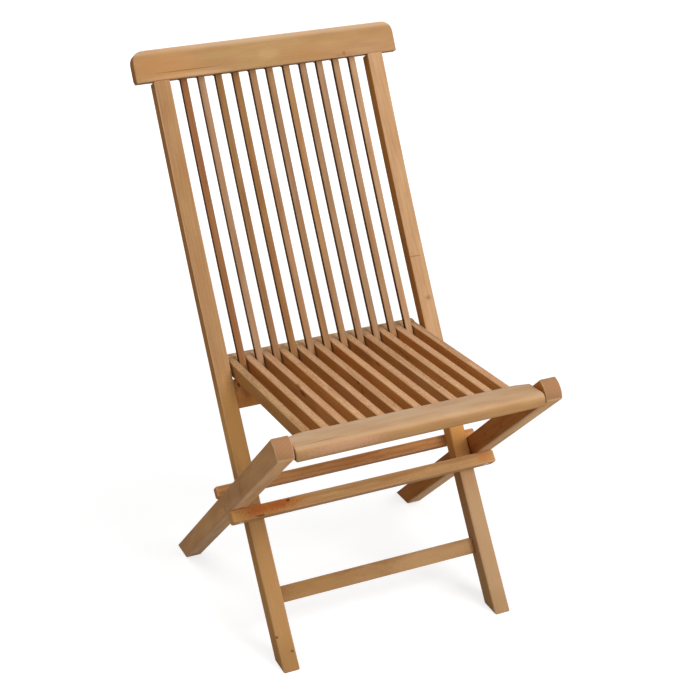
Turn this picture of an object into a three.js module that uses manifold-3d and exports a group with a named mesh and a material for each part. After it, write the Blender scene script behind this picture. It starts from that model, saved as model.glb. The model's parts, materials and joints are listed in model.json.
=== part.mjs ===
// Folding slatted teak chair. Millimetres, X across, Y to the rear, Z up.
import * as THREE from "three";
import { mergeVertices } from "three/addons/utils/BufferGeometryUtils.js";
import Module from "manifold-3d";

const wasm = await Module();
wasm.setup();

// Clearances
const JOINT_GAP = 0.3;
const FOLD_GAP = 2;
const SLAT_GAP = 1.1;
const CUT_OVERRUN = 20;

// Back frame: two bowed posts, seen from the side as an arc that leans less towards the top
const POST_LENGTH = 960;
const POST_WIDTH = 25;
const POST_DEPTH = 25;
const POST_FOOT_DEPTH = 33;
const POST_TAPER_LENGTH = 480;
const POST_FOOT_LEAN = 33.3;
const POST_TOP_LEAN = 25.2;
const INNER_WIDTH = 350;
const POST_TENON_LENGTH = 24;
const POST_TENON_MARGIN = 6;

// Crest rail
const CREST_OVERHANG = 28;
const CREST_HEIGHT = 51.5;
const CREST_THICKNESS = 23;
const CREST_SETBACK = 1.5;
const CREST_CORNER = 18;
const CREST_REAR_CHAMFER = 8;

// Back slats and the rails between the posts
const SLAT_SETBACK = 9.5;
const BACK_SLAT_THICKNESS = 12.5;
const SLAT_LET_IN = 8;
const LOWER_RAIL_HEIGHT = 47;
const LOWER_RAIL_THICKNESS = 15.5;
const STRETCHER_RISE = 106;
const STRETCHER_HEIGHT = 26;
const STRETCHER_THICKNESS = 13;
const STRETCHER_INSET = 0.5;
const RAIL_TENON_LENGTH = 15;
const RAIL_TENON_MARGIN = 3;

// Rear legs, which cross the posts and carry the seat at their upper ends
const LEG_WIDTH = 28;
const LEG_FOOT_DEPTH = 31;
const LEG_TIP_DEPTH = 35.5;
const LEG_ANGLE = 40.85;
const LEG_UPPER_LENGTH = 327;
const LEG_TIP_RADIUS = 30;
const LEG_TIP_CORNER = 5;
const PIVOT_ALONG_POST = 273.2;
const PIVOT_SETBACK_SHARE = 0.39;
const PIVOT_DROP_SHARE = 0.123;

// Cross bars, which lie on the legs and stop the fold against the posts
const FRONT_BAR_THICKNESS = 20;
const FRONT_BAR_WIDTH = 24;
const REAR_BAR_THICKNESS = 18;
const REAR_BAR_WIDTH = 19;
const BAR_OVERHANG = 2;
const BAR_CORNER_SHARE = 0.25;

// Seat: two rails and slats that run between the back slats
const SEAT_TILT = 3.1;
const SEAT_PIN_FROM_TIP = 25.5;
const SEAT_PIN_RISE_SHARE = 0.1;
const SEAT_PIN_INSET = 23;
const SEAT_PIN_DEPTH = 9.1;
const SEAT_END_GAP = 1.6;
const SEAT_SLAT_COUNT = 12;
const SEAT_SLAT_WIDTH = 13.2;
const SEAT_SLAT_HEIGHT = 24;
const SEAT_STUB_SHARE = 0.5;
const SEAT_SIDE_GAP = 5.6;
const FRONT_RAIL_DEPTH = 52.5;
const FRONT_RAIL_HEIGHT = 21;
const FRONT_RAIL_NOSE = 10;
const FRONT_RAIL_EAR_CUT = 6;
const RAIL_ROUND = 4;
const REAR_RAIL_DEPTH = 18;
const REAR_RAIL_NOSE = 9;
const REAR_RAIL_GAP = 12.5;
const REAR_RAIL_END_GAP = 3;

// Hardware
const BOLT_RADIUS = 4;
const BOLT_HEAD_RADIUS = 6.5;
const BOLT_HEAD_HEIGHT = 3.5;
const BOLT_BITE = 18;
const PLUG_THICKNESS = 5;
const WASHER_RADIUS = 9;
const PIN_RADIUS = 3;
const PIN_BITE = 16;
const SEAT_WASHER_RADIUS = 6.5;
const SCREW_RADIUS = 2.2;
const SCREW_HEAD_RADIUS = 4.4;
const SCREW_BITE = 17;

// Edges and facets
const EDGE = 1.6;
const SLAT_EDGE = 1.4;
const ARC_STEPS = 20;
const SLAT_STEPS = 12;
const ROUND_STEPS = 5;
const TURN_STEPS = 24;

// Looks
const TEAK = "#c79a6b";
const DARK_TEAK = "#b98655";
const STEEL = "#b9babb";
const TONE_SHARE = 0.03;
const TONE_TURN = 117;
const WOOD_ROUGHNESS = 0.6;
const STEEL_ROUGHNESS = 0.35;

// Widths that follow from the sizes above
const postInner = INNER_WIDTH / 2;
const postOuter = postInner + POST_WIDTH;
const legInner = postOuter + FOLD_GAP;
const legOuter = legInner + LEG_WIDTH;
const legMiddle = (legInner + legOuter) / 2;
const seatHalf = legInner - SEAT_END_GAP;
const seatSpread = INNER_WIDTH - 2 * SEAT_SIDE_GAP - SEAT_SLAT_WIDTH;
const slatPitch = seatSpread / (SEAT_SLAT_COUNT - 1);
const backSlatCount = SEAT_SLAT_COUNT - 1;
const backSlatWidth = slatPitch - SEAT_SLAT_WIDTH - 2 * SLAT_GAP;
const slatRear = SLAT_SETBACK + BACK_SLAT_THICKNESS;

const rad = THREE.MathUtils.degToRad;
const backRadius = POST_LENGTH / rad(POST_FOOT_LEAN - POST_TOP_LEAN);

function backLean(along) {
  return rad(POST_FOOT_LEAN) - along / backRadius;
}

// A point of the side view, along the posts' front face from the foot and behind that face
function backPoint(along, behind) {
  const foot = rad(POST_FOOT_LEAN);
  const lean = backLean(along);
  const reach = backRadius + behind;
  const y = reach * Math.cos(lean) - backRadius * Math.cos(foot);
  const z = backRadius * Math.sin(foot) - reach * Math.sin(lean);
  return new THREE.Vector2(y, z);
}

// How far a point of the side view lies behind the posts' front face
function behindFront(point) {
  const foot = rad(POST_FOOT_LEAN);
  const y = point.x + backRadius * Math.cos(foot);
  const z = point.y - backRadius * Math.sin(foot);
  return Math.hypot(y, z) - backRadius;
}

function postDepth(along) {
  const left = Math.max(0, 1 - along / POST_TAPER_LENGTH);
  return POST_DEPTH + (POST_FOOT_DEPTH - POST_DEPTH) * left;
}

// Pivot of the scissor, in the side view
const pivotBehind = postDepth(PIVOT_ALONG_POST) * PIVOT_SETBACK_SHARE;
const pivot = backPoint(PIVOT_ALONG_POST, pivotBehind);
const legTowardsTip = new THREE.Vector2(-Math.cos(rad(LEG_ANGLE)), Math.sin(rad(LEG_ANGLE)));
const legUp = new THREE.Vector2(Math.sin(rad(LEG_ANGLE)), Math.cos(rad(LEG_ANGLE)));

const legLower = (pivot.y + LEG_FOOT_DEPTH) / Math.sin(rad(LEG_ANGLE));

// Half of the leg's depth, which grows evenly from its foot to its tip
function legHalf(towardsTip) {
  const share = (towardsTip + legLower) / (LEG_UPPER_LENGTH + legLower);
  return (LEG_FOOT_DEPTH + (LEG_TIP_DEPTH - LEG_FOOT_DEPTH) * share) / 2;
}

const legDrop = 2 * legHalf(0) * PIVOT_DROP_SHARE;

// A point of the side view, towards the leg's tip from the pivot and above the leg's middle
function legPoint(towardsTip, above) {
  const point = pivot.clone().addScaledVector(legTowardsTip, towardsTip);
  return point.addScaledVector(legUp, above + legDrop);
}

const seatPin = legPoint(LEG_UPPER_LENGTH - SEAT_PIN_FROM_TIP, LEG_TIP_DEPTH * SEAT_PIN_RISE_SHARE);
const seatRearwards = new THREE.Vector2(Math.cos(rad(SEAT_TILT)), -Math.sin(rad(SEAT_TILT)));
const seatDown = new THREE.Vector2(-Math.sin(rad(SEAT_TILT)), -Math.cos(rad(SEAT_TILT)));

// A point of the side view, rearwards of the front rail's rear edge and below the seat's top
function seatPoint(rearwards, down) {
  const point = seatPin.clone().addScaledVector(seatRearwards, rearwards + SEAT_PIN_INSET);
  return point.addScaledVector(seatDown, down - SEAT_PIN_DEPTH);
}

// Where a rising function passes zero
function crossing(low, high, height) {
  let from = low;
  let to = high;
  while (to - from > (high - low) * Number.EPSILON) {
    const middle = (from + to) / 2;
    if (middle === from || middle === to) break;
    if (height(middle) < 0) from = middle;
    else to = middle;
  }
  return (from + to) / 2;
}

// The seat slats rest on the lower back rail, whose top front edge comes up to them
const lowerRailTop = crossing(0, POST_LENGTH, (along) => {
  const corner = backPoint(along, SLAT_SETBACK);
  const below = corner.clone().sub(seatPoint(0, SEAT_SLAT_HEIGHT)).dot(seatDown);
  return JOINT_GAP - below;
});
const lowerRailBottom = lowerRailTop - LOWER_RAIL_HEIGHT;

// The seat's rear rail hangs behind the back slats
const rearRailFront = crossing(0, POST_LENGTH, (rearwards) => {
  const nose = seatPoint(rearwards, REAR_RAIL_NOSE);
  return behindFront(nose) - slatRear - REAR_RAIL_GAP;
});

// The bars' inner corners stand on the legs, just clear of the posts
const frontBarInner = crossing(0, LEG_UPPER_LENGTH, (towardsTip) => {
  return -JOINT_GAP - behindFront(legPoint(towardsTip, -legHalf(towardsTip)));
});
const rearBarInner = -crossing(0, LEG_UPPER_LENGTH, (towardsFoot) => {
  const corner = legPoint(-towardsFoot, legHalf(-towardsFoot));
  return behindFront(corner) - postDepth(PIVOT_ALONG_POST) - JOINT_GAP;
});

// Turns a closed geometry into a solid that can be cut and joined
function solid(geometry) {
  const bare = geometry.index ? geometry.toNonIndexed() : geometry.clone();
  bare.deleteAttribute("normal");
  bare.deleteAttribute("uv");
  const merged = mergeVertices(bare);
  return new wasm.Manifold(
    new wasm.Mesh({
      numProp: 3,
      vertProperties: new Float32Array(merged.attributes.position.array),
      triVerts: new Uint32Array(merged.index.array),
    }),
  );
}

function geometryOf(made) {
  const got = made.getMesh();
  const geometry = new THREE.BufferGeometry();
  geometry.setAttribute("position", new THREE.BufferAttribute(got.vertProperties, got.numProp));
  geometry.setIndex(new THREE.BufferAttribute(got.triVerts, 1));
  const facets = geometry.toNonIndexed();
  facets.computeVertexNormals();
  return facets;
}

// An extruded outline with eased edges, from zero to its thickness along local Z
function easedBoard(outline, thickness, edge) {
  const geometry = new THREE.ExtrudeGeometry(new THREE.Shape(outline), {
    depth: thickness - 2 * edge,
    bevelEnabled: edge > 0,
    bevelThickness: edge,
    bevelSize: edge,
    bevelOffset: -edge,
    bevelSegments: 1,
    steps: 1,
  });
  return geometry.translate(0, 0, edge);
}

// A side view outline extruded across the chair between two places
function sideBoard(outline, from, to, edge) {
  const geometry = easedBoard(outline, to - from, edge);
  const across = new THREE.Matrix4().makeBasis(
    new THREE.Vector3(0, 1, 0),
    new THREE.Vector3(0, 0, 1),
    new THREE.Vector3(1, 0, 0),
  );
  return solid(geometry.applyMatrix4(across).translate(from, 0, 0));
}

// A front view outline extruded from a place of the side view towards a direction in it
function frontBoard(outline, place, up, thickness, edge) {
  const across = new THREE.Vector3(1, 0, 0);
  const along = new THREE.Vector3(0, up.x, up.y);
  const turned = new THREE.Matrix4().makeBasis(across, along, across.clone().cross(along));
  const geometry = easedBoard(outline, thickness, edge).applyMatrix4(turned);
  return solid(geometry.translate(0, place.x, place.y));
}

// A round piece about an axis that starts at a place and points in a direction
function turned(profile, place, direction) {
  const geometry = new THREE.LatheGeometry(profile, TURN_STEPS);
  const axis = new THREE.Vector3(0, 1, 0);
  const turn = new THREE.Quaternion().setFromUnitVectors(axis, direction);
  geometry.applyQuaternion(turn);
  return solid(geometry.translate(place.x, place.y, place.z));
}

// The part of an outline that stands above the floor
function aboveFloor(outline) {
  const kept = [];
  outline.forEach((point, i) => {
    const next = outline[(i + 1) % outline.length];
    if (point.y >= 0) kept.push(point);
    if (point.y * next.y < 0) {
      kept.push(point.clone().lerp(next, point.y / (point.y - next.y)));
    }
  });
  return kept;
}

// A strip of the back between two places along it and two depths behind the front face
function backStrip(from, to, front, rear, steps) {
  const strip = [];
  for (let i = 0; i <= steps; i++) {
    strip.push(backPoint(from + ((to - from) * i) / steps, front));
  }
  for (let i = steps; i >= 0; i--) {
    const along = from + ((to - from) * i) / steps;
    strip.push(backPoint(along, rear(along)));
  }
  return strip;
}

function backBlock(from, to, front, rear) {
  return backStrip(from, to, front, () => rear, 1);
}

// A rectangle with rounded corners, each with its own radius, counted from the lower left
function roundedOutline(left, bottom, right, top, radii) {
  const corners = [
    [left + radii[0], bottom + radii[0], radii[0], 180],
    [right - radii[1], bottom + radii[1], radii[1], 270],
    [right - radii[2], top - radii[2], radii[2], 0],
    [left + radii[3], top - radii[3], radii[3], 90],
  ];
  return corners.flatMap(([x, y, radius, start]) => {
    const steps = radius > 0 ? ROUND_STEPS : 0;
    return Array.from({ length: steps + 1 }, (_, i) => {
      const angle = rad(start + (steps ? (90 * i) / steps : 0));
      return new THREE.Vector2(x + radius * Math.cos(angle), y + radius * Math.sin(angle));
    });
  });
}

const vec = (x, point) => new THREE.Vector3(x, point.x, point.y);
const towards = (point) => new THREE.Vector3(0, point.x, point.y);
const outwards = (side) => new THREE.Vector3(side, 0, 0);
const sides = { left: -1, right: 1 };

// A board that lies on one side of the chair, given by its inner and outer faces
function besideBoard(outline, side, inner, outer, edge) {
  const from = side < 0 ? -outer : inner;
  return sideBoard(outline, from, from + outer - inner, edge);
}

// Round cuts and pieces across the chair, from an inner place outwards
function rod(radius, side, point, inner, outer) {
  const profile = [
    new THREE.Vector2(0, 0),
    new THREE.Vector2(radius, 0),
    new THREE.Vector2(radius, outer - inner),
    new THREE.Vector2(0, outer - inner),
  ];
  return turned(profile, vec(side * inner, point), outwards(side));
}

function washer(hole, radius, side, point, inner, outer) {
  const profile = [
    new THREE.Vector2(hole, 0),
    new THREE.Vector2(radius, 0),
    new THREE.Vector2(radius, outer - inner),
    new THREE.Vector2(hole, outer - inner),
    new THREE.Vector2(hole, 0),
  ];
  return turned(profile, vec(side * inner, point), outwards(side));
}

// Bolt places along its axis, outwards from the blind end in the post
const boltEnd = postOuter - BOLT_BITE;
const headSeat = legOuter - PLUG_THICKNESS - JOINT_GAP - BOLT_HEAD_HEIGHT;
const headBore = BOLT_HEAD_RADIUS + JOINT_GAP;

function pivotBolt(side) {
  const reach = headSeat - boltEnd;
  const profile = [
    new THREE.Vector2(0, 0),
    new THREE.Vector2(BOLT_RADIUS, 0),
    new THREE.Vector2(BOLT_RADIUS, reach),
    new THREE.Vector2(BOLT_HEAD_RADIUS, reach),
    new THREE.Vector2(BOLT_HEAD_RADIUS, reach + BOLT_HEAD_HEIGHT),
    new THREE.Vector2(0, reach + BOLT_HEAD_HEIGHT),
  ];
  return turned(profile, vec(side * boltEnd, pivot), outwards(side));
}

function boltBore(side) {
  const radius = BOLT_RADIUS + JOINT_GAP;
  return rod(radius, side, pivot, boltEnd - JOINT_GAP, legOuter + CUT_OVERRUN);
}

function headCounterbore(side) {
  return rod(headBore, side, pivot, headSeat - JOINT_GAP, legOuter + CUT_OVERRUN);
}

// Seat pins, each half in the leg and half in the front rail
const pinInner = seatHalf - PIN_BITE;
const pinOuter = legInner + PIN_BITE;

function pinBore(side) {
  return rod(PIN_RADIUS + JOINT_GAP, side, seatPin, pinInner - JOINT_GAP, pinOuter + JOINT_GAP);
}

// Rails between the posts, with tenons that enter them
function tenonBlock(from, to, front, rear, grown) {
  const margin = RAIL_TENON_MARGIN - grown;
  return backBlock(from + margin, to - margin, front + margin, rear - margin);
}

function tenonedRail(from, to, front, rear) {
  const half = postInner - JOINT_GAP;
  const reach = postInner + RAIL_TENON_LENGTH;
  const body = sideBoard(backBlock(from, to, front, rear), -half, half, EDGE);
  return body.add(sideBoard(tenonBlock(from, to, front, rear, 0), -reach, reach, 0));
}

function railMortise(from, to, front, rear) {
  const reach = postInner + RAIL_TENON_LENGTH + JOINT_GAP;
  return sideBoard(tenonBlock(from, to, front, rear, JOINT_GAP), -reach, reach, 0);
}

const lowerRail = [lowerRailBottom, lowerRailTop, SLAT_SETBACK, SLAT_SETBACK + LOWER_RAIL_THICKNESS];
const stretcherRear = postDepth(STRETCHER_RISE + STRETCHER_HEIGHT) - STRETCHER_INSET;
const stretcher = [
  STRETCHER_RISE,
  STRETCHER_RISE + STRETCHER_HEIGHT,
  stretcherRear - STRETCHER_THICKNESS,
  stretcherRear,
];

// Tenon of a post in the crest rail
const crestBottom = POST_LENGTH + JOINT_GAP;
const crestLean = backLean(POST_LENGTH);
const crestUp = new THREE.Vector2(Math.sin(crestLean), Math.cos(crestLean));
const crestBack = new THREE.Vector2(Math.cos(crestLean), -Math.sin(crestLean));

function crestPoint(above, behind) {
  const point = backPoint(crestBottom, 0).addScaledVector(crestUp, above);
  return point.addScaledVector(crestBack, behind);
}

function postTenon(side, grown) {
  const margin = POST_TENON_MARGIN - grown;
  const top = POST_TENON_LENGTH + grown;
  const rear = CREST_SETBACK + Math.min(CREST_THICKNESS, POST_DEPTH) - margin;
  const outline = [
    crestPoint(-POST_TENON_MARGIN, CREST_SETBACK + margin),
    crestPoint(-POST_TENON_MARGIN, rear),
    crestPoint(top, rear),
    crestPoint(top, CREST_SETBACK + margin),
  ];
  return besideBoard(outline, side, postInner + margin, postOuter - margin, 0);
}

function post(side) {
  const outline = aboveFloor(backStrip(-POST_FOOT_DEPTH, POST_LENGTH, 0, postDepth, ARC_STEPS));
  const body = besideBoard(outline, side, postInner, postOuter, EDGE).add(postTenon(side, 0));
  return body
    .subtract(boltBore(side))
    .subtract(railMortise(...lowerRail))
    .subtract(railMortise(...stretcher));
}

function backSlat(centre, grown) {
  const half = backSlatWidth / 2 + grown;
  const from = lowerRailTop - SLAT_LET_IN - grown;
  const to = crestBottom + SLAT_LET_IN + grown;
  const rear = slatRear + grown;
  const outline = backStrip(from, to, SLAT_SETBACK - grown, () => rear, SLAT_STEPS);
  return sideBoard(outline, centre - half, centre + half, grown > 0 ? 0 : SLAT_EDGE);
}

const slatCentre = (i, count) => (i - (count - 1) / 2) * slatPitch;
const backSlatCentres = Array.from({ length: backSlatCount }, (_, i) => slatCentre(i, backSlatCount));
const seatSlatCentres = Array.from({ length: SEAT_SLAT_COUNT }, (_, i) => slatCentre(i, SEAT_SLAT_COUNT));

// Pockets for the back slats' ends, each wholly inside the rail's faces
function slatPocket(centre) {
  const half = backSlatWidth / 2 + JOINT_GAP;
  const rear = slatRear + JOINT_GAP;
  const front = SLAT_SETBACK + RAIL_TENON_MARGIN - JOINT_GAP;
  const depth = SLAT_LET_IN + JOINT_GAP;
  const low = backBlock(lowerRailTop - depth, lowerRailTop + CUT_OVERRUN, front, rear);
  return sideBoard(low, centre - half, centre + half, 0);
}

function crestRail() {
  const half = postOuter + CREST_OVERHANG;
  const radii = [0, 0, CREST_CORNER, CREST_CORNER];
  const outline = roundedOutline(-half, 0, half, CREST_HEIGHT, radii);
  const start = crestPoint(0, CREST_SETBACK + CREST_THICKNESS);
  const chamfer = CREST_REAR_CHAMFER + CUT_OVERRUN;
  const rear = CREST_SETBACK + CREST_THICKNESS + CUT_OVERRUN;
  const waste = [
    crestPoint(-CUT_OVERRUN, rear - chamfer - CUT_OVERRUN),
    crestPoint(-CUT_OVERRUN, rear),
    crestPoint(chamfer, rear),
  ];
  let made = frontBoard(outline, start, crestUp, CREST_THICKNESS, EDGE);
  made = made.subtract(sideBoard(waste, -half - CUT_OVERRUN, half + CUT_OVERRUN, 0));
  for (const side of Object.values(sides)) made = made.subtract(postTenon(side, JOINT_GAP));
  for (const centre of backSlatCentres) made = made.subtract(backSlat(centre, JOINT_GAP));
  return made;
}

function lowerBackRail() {
  let made = tenonedRail(...lowerRail);
  for (const centre of backSlatCentres) made = made.subtract(slatPocket(centre));
  return made;
}

// The back slat with a stub at its foot that leaves the lower rail's front face whole
function fittedBackSlat(centre) {
  const half = backSlatWidth / 2 + CUT_OVERRUN;
  const shoulder = lowerRailTop + JOINT_GAP;
  const front = SLAT_SETBACK + RAIL_TENON_MARGIN;
  const waste = backBlock(shoulder - LOWER_RAIL_HEIGHT, shoulder, SLAT_SETBACK - CUT_OVERRUN, front);
  return backSlat(centre, 0).subtract(sideBoard(waste, centre - half, centre + half, 0));
}

// An arc of the side view about a centre given in the leg's own directions
function legArc(towardsTip, above, radius, from, to) {
  return Array.from({ length: ROUND_STEPS + 1 }, (_, i) => {
    const angle = from + ((to - from) * i) / ROUND_STEPS;
    return legPoint(towardsTip + radius * Math.cos(angle), above + radius * Math.sin(angle));
  });
}

// Leg outline: straight sides, a foot flat on the floor and an arched tip with its lower corner eased
function legOutline() {
  const half = LEG_TIP_DEPTH / 2;
  const ease = LEG_TIP_CORNER;
  const tipCentre = LEG_UPPER_LENGTH - LEG_TIP_RADIUS;
  const upper = Math.asin(half / LEG_TIP_RADIUS);
  const lower = -Math.asin((half - ease) / (LEG_TIP_RADIUS - ease));
  const easeCentre = tipCentre + (LEG_TIP_RADIUS - ease) * Math.cos(lower);
  const eased = legArc(easeCentre, ease - half, ease, -Math.PI / 2, lower);
  const arched = legArc(tipCentre, 0, LEG_TIP_RADIUS, lower, upper);
  const footLower = legPoint(-legLower, -legHalf(-legLower));
  const footUpper = legPoint(-legLower, legHalf(-legLower));
  return aboveFloor([footLower, ...eased, ...arched.slice(1), footUpper]);
}

function leg(side) {
  let made = besideBoard(legOutline(), side, legInner, legOuter, EDGE);
  made = made.subtract(boltBore(side)).subtract(headCounterbore(side)).subtract(pinBore(side));
  for (const bar of [frontBar, rearBar]) made = made.subtract(barScrew(bar, side, JOINT_GAP));
  return made;
}

// Each bar: its middle along the leg, its section and the side of the leg that it lies on
const frontBar = {
  middle: frontBarInner + FRONT_BAR_WIDTH / 2,
  width: FRONT_BAR_WIDTH,
  thickness: FRONT_BAR_THICKNESS,
  face: -1,
};
const rearBar = {
  middle: rearBarInner - REAR_BAR_WIDTH / 2,
  width: REAR_BAR_WIDTH,
  thickness: REAR_BAR_THICKNESS,
  face: 1,
};

function barScrew(bar, side, grown) {
  const start = legPoint(bar.middle, bar.face * (legHalf(bar.middle) - SCREW_BITE - grown));
  const length = SCREW_BITE + JOINT_GAP + bar.thickness + grown;
  const neck = length - SCREW_HEAD_RADIUS - grown;
  const profile = [
    new THREE.Vector2(0, 0),
    new THREE.Vector2(SCREW_RADIUS + grown, 0),
    new THREE.Vector2(SCREW_RADIUS + grown, neck),
    new THREE.Vector2(SCREW_HEAD_RADIUS + grown, length - grown),
    new THREE.Vector2(0, length - grown),
  ];
  if (grown > 0) {
    profile.pop();
    profile.push(new THREE.Vector2(SCREW_HEAD_RADIUS + grown, length + CUT_OVERRUN));
    profile.push(new THREE.Vector2(0, length + CUT_OVERRUN));
  }
  const direction = towards(legUp).multiplyScalar(bar.face);
  return turned(profile, vec(side * legMiddle, start), direction);
}

function crossBar(bar) {
  const half = legOuter + BAR_OVERHANG;
  const radii = new Array(4).fill(bar.width * BAR_CORNER_SHARE);
  const outline = roundedOutline(-half, -bar.width / 2, half, bar.width / 2, radii);
  const clear = legHalf(bar.middle) + JOINT_GAP;
  const low = bar.face < 0 ? -clear - bar.thickness : clear;
  const footwards = legTowardsTip.clone().negate();
  let made = frontBoard(outline, legPoint(bar.middle, low), footwards, bar.thickness, EDGE);
  for (const side of Object.values(sides)) made = made.subtract(barScrew(bar, side, JOINT_GAP));
  return made;
}

// Seat rails, as side view outlines
function seatOutline(points) {
  return points.map((point) => seatPoint(point.x, -point.y));
}

// The rail's ears slant forwards outside the posts' inner faces, so that they lie on the posts when folded
function earWaste(side) {
  const reach = 2 * (seatHalf - postInner);
  const outline = [
    new THREE.Vector2(side * postInner, 0),
    new THREE.Vector2(side * (postInner + reach), -2 * FRONT_RAIL_EAR_CUT),
    new THREE.Vector2(side * (postInner + reach), CUT_OVERRUN),
    new THREE.Vector2(side * postInner, CUT_OVERRUN),
  ];
  const below = seatPoint(0, FRONT_RAIL_HEIGHT + CUT_OVERRUN);
  return frontBoard(outline, below, seatRearwards, FRONT_RAIL_HEIGHT + 2 * CUT_OVERRUN, 0);
}

function frontRail() {
  const radii = [RAIL_ROUND, RAIL_ROUND, 0, FRONT_RAIL_NOSE];
  const outline = roundedOutline(-FRONT_RAIL_DEPTH, -FRONT_RAIL_HEIGHT, 0, 0, radii);
  let made = sideBoard(seatOutline(outline), -seatHalf, seatHalf, EDGE);
  for (const side of Object.values(sides)) {
    made = made.subtract(pinBore(side)).subtract(earWaste(side));
  }
  for (const centre of seatSlatCentres) made = made.subtract(seatSlat(centre, JOINT_GAP));
  return made;
}

function rearRail() {
  const half = postInner - REAR_RAIL_END_GAP;
  const rear = rearRailFront + REAR_RAIL_DEPTH;
  const radii = [0, RAIL_ROUND, RAIL_ROUND, REAR_RAIL_NOSE];
  const outline = roundedOutline(rearRailFront, -SEAT_SLAT_HEIGHT, rear, 0, radii);
  let made = sideBoard(seatOutline(outline), -half, half, EDGE);
  for (const centre of seatSlatCentres) made = made.subtract(seatSlat(centre, JOINT_GAP));
  return made;
}

// Seat slat, with ends thinned to stubs that enter the two rails
function seatSlat(centre, grown) {
  const half = SEAT_SLAT_WIDTH / 2 + grown;
  const from = -SLAT_LET_IN - grown;
  const to = rearRailFront + SLAT_LET_IN + grown;
  const stubTop = (-SEAT_SLAT_HEIGHT * (1 - SEAT_STUB_SHARE)) / 2 + grown;
  const stubBottom = (-SEAT_SLAT_HEIGHT * (1 + SEAT_STUB_SHARE)) / 2 - grown;
  const stub = roundedOutline(from, stubBottom, to, stubTop, [0, 0, 0, 0]);
  const tenon = sideBoard(seatOutline(stub), centre - half, centre + half, 0);
  if (grown > 0) return tenon;
  const body = roundedOutline(JOINT_GAP, -SEAT_SLAT_HEIGHT, rearRailFront - JOINT_GAP, 0, [0, 0, 0, 0]);
  return tenon.add(sideBoard(seatOutline(body), centre - half, centre + half, SLAT_EDGE));
}

// Gathers the pieces, each a named mesh with its own material
const chair = new THREE.Group();
let pieceCount = 0;

function addPiece(name, made, colour, metalness) {
  const tone = new THREE.Color(colour);
  const wave = Math.sin(pieceCount * rad(TONE_TURN));
  tone.offsetHSL(0, 0, metalness > 0 ? 0 : TONE_SHARE * wave);
  pieceCount += 1;
  const roughness = metalness > 0 ? STEEL_ROUGHNESS : WOOD_ROUGHNESS;
  const material = new THREE.MeshStandardMaterial({ color: tone, roughness, metalness });
  const mesh = new THREE.Mesh(geometryOf(made), material);
  mesh.name = name;
  chair.add(mesh);
}

const number = (i) => String(i + 1).padStart(2, "0");

for (const [name, side] of Object.entries(sides)) {
  addPiece(`post_${name}`, post(side), TEAK, 0);
  addPiece(`rear_leg_${name}`, leg(side), TEAK, 0);
  addPiece(`pivot_bolt_${name}`, pivotBolt(side), STEEL, 1);
  const plugInner = legOuter - PLUG_THICKNESS;
  addPiece(`pivot_plug_${name}`, rod(BOLT_HEAD_RADIUS, side, pivot, plugInner, legOuter), DARK_TEAK, 0);
  const bolt = BOLT_RADIUS + JOINT_GAP;
  const washerFaces = [postOuter + JOINT_GAP, legInner - JOINT_GAP];
  addPiece(`pivot_washer_${name}`, washer(bolt, WASHER_RADIUS, side, pivot, ...washerFaces), STEEL, 1);
  addPiece(`seat_pin_${name}`, rod(PIN_RADIUS, side, seatPin, pinInner, pinOuter), STEEL, 1);
  const pin = PIN_RADIUS + JOINT_GAP;
  const seatFaces = [seatHalf + JOINT_GAP, legInner - JOINT_GAP];
  addPiece(`seat_washer_${name}`, washer(pin, SEAT_WASHER_RADIUS, side, seatPin, ...seatFaces), STEEL, 1);
  addPiece(`front_bar_screw_${name}`, barScrew(frontBar, side, 0), STEEL, 1);
  addPiece(`rear_bar_screw_${name}`, barScrew(rearBar, side, 0), STEEL, 1);
}

addPiece("crest_rail", crestRail(), TEAK, 0);
addPiece("lower_back_rail", lowerBackRail(), TEAK, 0);
addPiece("front_stretcher", tenonedRail(...stretcher), TEAK, 0);
addPiece("front_cross_bar", crossBar(frontBar), DARK_TEAK, 0);
addPiece("rear_cross_bar", crossBar(rearBar), DARK_TEAK, 0);
addPiece("seat_front_rail", frontRail(), TEAK, 0);
addPiece("seat_rear_rail", rearRail(), TEAK, 0);
backSlatCentres.forEach((centre, i) => {
  addPiece(`back_slat_${number(i)}`, fittedBackSlat(centre), i % 2 ? DARK_TEAK : TEAK, 0);
});
seatSlatCentres.forEach((centre, i) => {
  addPiece(`seat_slat_${number(i)}`, seatSlat(centre, 0), i % 3 ? TEAK : DARK_TEAK, 0);
});

// Stands the chair on the floor with the middle of its footprint at the origin
const box = new THREE.Box3().setFromObject(chair);
const middle = box.getCenter(new THREE.Vector3());
chair.children.forEach((mesh) => mesh.geometry.translate(-middle.x, -middle.y, -box.min.z));

export default chair;
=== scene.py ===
import json
import math
import random

import bmesh
import bpy
from mathutils import Matrix, Vector


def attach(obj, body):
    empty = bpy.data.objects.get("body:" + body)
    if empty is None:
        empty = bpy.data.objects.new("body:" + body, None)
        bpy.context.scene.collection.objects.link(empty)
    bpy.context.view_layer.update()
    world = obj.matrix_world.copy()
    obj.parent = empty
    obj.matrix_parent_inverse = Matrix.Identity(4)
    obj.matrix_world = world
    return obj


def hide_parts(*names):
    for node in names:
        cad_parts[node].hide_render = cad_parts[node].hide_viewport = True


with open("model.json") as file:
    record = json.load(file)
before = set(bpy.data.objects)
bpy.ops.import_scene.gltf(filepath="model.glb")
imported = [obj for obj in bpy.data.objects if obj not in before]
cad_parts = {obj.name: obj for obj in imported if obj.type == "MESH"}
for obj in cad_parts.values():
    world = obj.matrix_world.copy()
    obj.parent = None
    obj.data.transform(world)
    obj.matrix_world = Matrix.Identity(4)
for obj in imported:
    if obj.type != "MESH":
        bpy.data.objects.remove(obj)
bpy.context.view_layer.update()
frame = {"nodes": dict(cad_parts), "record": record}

dice = random.Random(7)

# Board directions in the side view, in degrees
POST_LEAN = 29.25
SLAT_LEAN = 27.6
LEG_RISE = 40.85
SEAT_FALL = 3.1

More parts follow.
